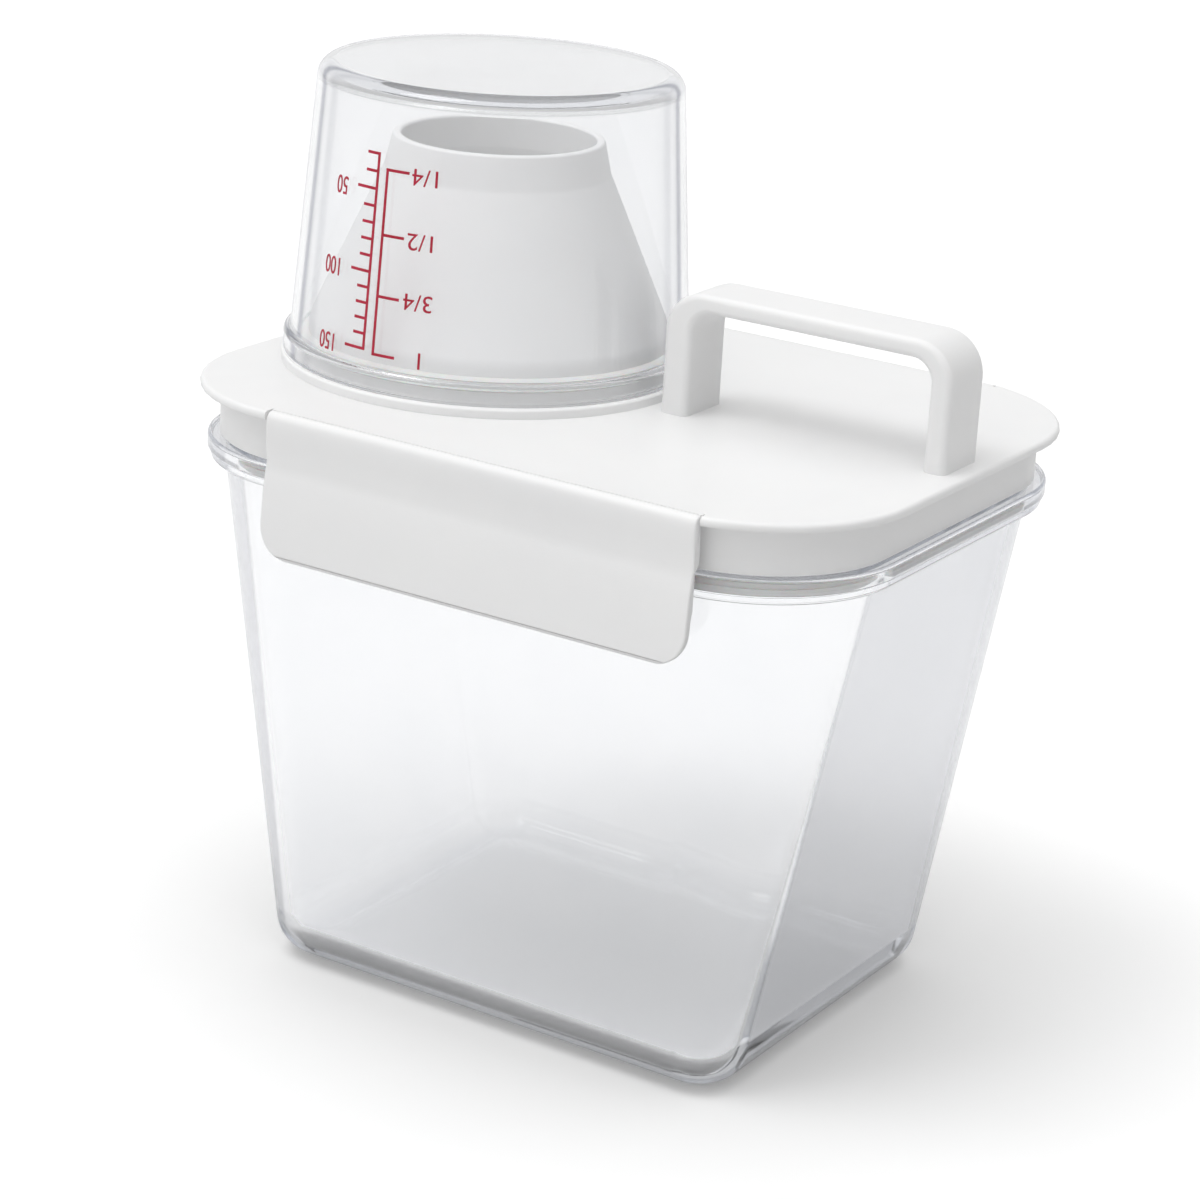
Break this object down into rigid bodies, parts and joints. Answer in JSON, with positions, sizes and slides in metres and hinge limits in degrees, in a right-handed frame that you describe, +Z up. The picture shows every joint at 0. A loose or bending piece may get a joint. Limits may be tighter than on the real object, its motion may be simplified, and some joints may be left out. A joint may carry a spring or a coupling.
{
  "type": "dry food container with measuring cup cap",
  "caption": "Clear tapered food tub with a white lid, latch flaps, arch handle and a pour spout capped by an upturned clear measuring cup.",
  "frame": {"origin": "centre of the flat underside of the tub", "axes": "+X along the long side towards the carry handle, -Y towards the side that shows the cup's scale, +Z up"},
  "size_m": [0.14, 0.1116, 0.1659],
  "materials": {
    "clear_plastic": "clear, polished, thick-walled",
    "white_plastic": "satin moulded",
    "silicone": "matt, translucent white",
    "red_ink": "screen-printed ink"
  },
  "bodies": {
    "tub": {"tub": "clear_plastic"},
    "lid": {"lid_panel": "white_plastic", "lid_gasket": "silicone", "pour_spout": "white_plastic", "spout_seal": "silicone", "carry_handle": "white_plastic", "front_hinge_film": "white_plastic", "rear_hinge_film": "white_plastic"},
    "cup": {"measuring_cup": "clear_plastic", "cup_scale": "red_ink"},
    "front_flap": {"front_latch_flap": "white_plastic"},
    "rear_flap": {"rear_latch_flap": "white_plastic"}
  },
  "joints": [
    {"name": "lid_lift", "type": "slide", "parent": "tub", "child": "lid", "axis": [0, 0, 1], "range_m": [0, 0.04]},
    {"name": "cup_lift", "type": "slide", "parent": "lid", "child": "cup", "axis": [0, 0, 1], "range_m": [0, 0.05]},
    {"name": "front_flap_hinge", "type": "hinge", "parent": "lid", "child": "front_flap", "pos_m": [0.0033, -0.0524, 0.1103], "axis": [-1, 0, 0], "range_deg": [0, 105], "deforming": ["front_hinge_film"]},
    {"name": "rear_flap_hinge", "type": "hinge", "parent": "lid", "child": "rear_flap", "pos_m": [0.0033, 0.0524, 0.1103], "axis": [1, 0, 0], "range_deg": [0, 105], "deforming": ["rear_hinge_film"]}
  ]
}
